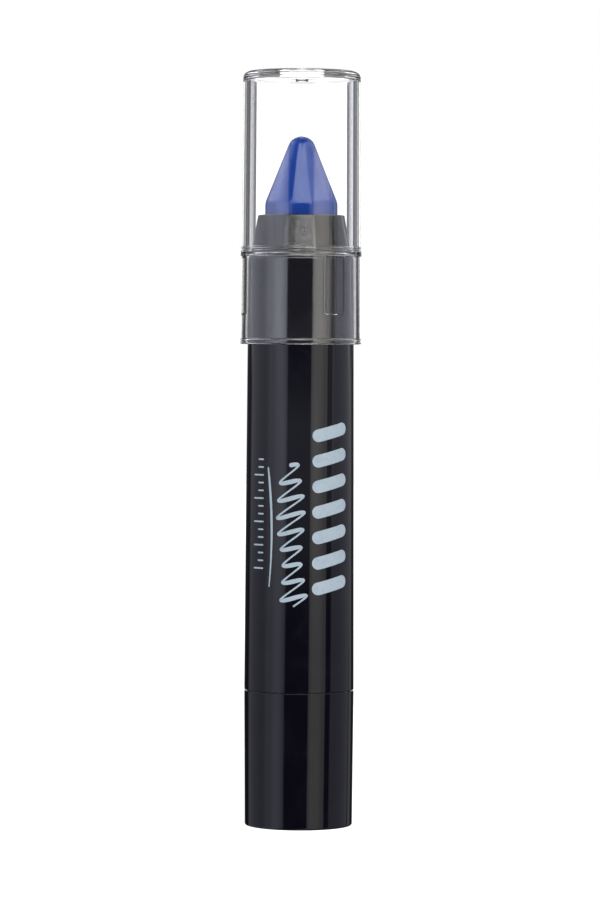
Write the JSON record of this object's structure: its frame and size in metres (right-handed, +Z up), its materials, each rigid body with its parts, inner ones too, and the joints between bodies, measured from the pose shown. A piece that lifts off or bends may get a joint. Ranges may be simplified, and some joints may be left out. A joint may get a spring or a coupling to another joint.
{
  "type": "twist-up crayon",
  "caption": "Chunky twist-up crayon standing on its base, with a tapered nose, a screw drive in the base and a clear pull-off overcap.",
  "frame": {"origin": "middle of the base's underside, on the surface that the crayon stands on", "axes": "+Z up along the crayon's axis, towards its tip; the printed front faces -Y"},
  "size_m": [0.0194, 0.0194, 0.12],
  "materials": {
    "gloss_black": "high-gloss injection moulded black",
    "nose_black": "semi-gloss moulded black",
    "natural_plastic": "uncoloured moulded mechanism plastic",
    "spring_steel": "bright spring steel",
    "seal_rubber": "soft black rubber",
    "blue_wax": "smooth waxy royal blue",
    "clear_plastic": "polished water-clear",
    "print_ink": "pale blue-grey printed decoration"
  },
  "bodies": {
    "barrel_body": {"barrel": "gloss_black", "nose_sleeve": "nose_black", "guide_bush": "natural_plastic", "retaining_ring": "spring_steel"},
    "base_body": {"twist_base": "gloss_black", "base_neck": "natural_plastic", "drive_screw": "natural_plastic", "drag_ring": "seal_rubber"},
    "carrier_body": {"carrier_stem": "natural_plastic", "crayon_cup": "natural_plastic", "crayon_stick": "blue_wax"},
    "cap_body": {"clear_cap": "clear_plastic"}
  },
  "joints": [
    {"name": "base_twist", "type": "hinge", "parent": "barrel_body", "child": "base_body", "pos_m": [0, 0, 0], "axis": [0, 0, 1], "range_deg": [-1224, 720]},
    {"name": "crayon_slide", "type": "slide", "parent": "barrel_body", "child": "carrier_body", "axis": [0, 0, 1], "range_m": [-0.01361, 0.00801]},
    {"name": "cap_pull", "type": "slide", "parent": "barrel_body", "child": "cap_body", "axis": [0, 0, 1], "range_m": [0, 0.05]}
  ],
  "couplings": [
    {"joint": "crayon_slide", "follows": "base_twist", "m_per_rad": 0.00063662}
  ]
}
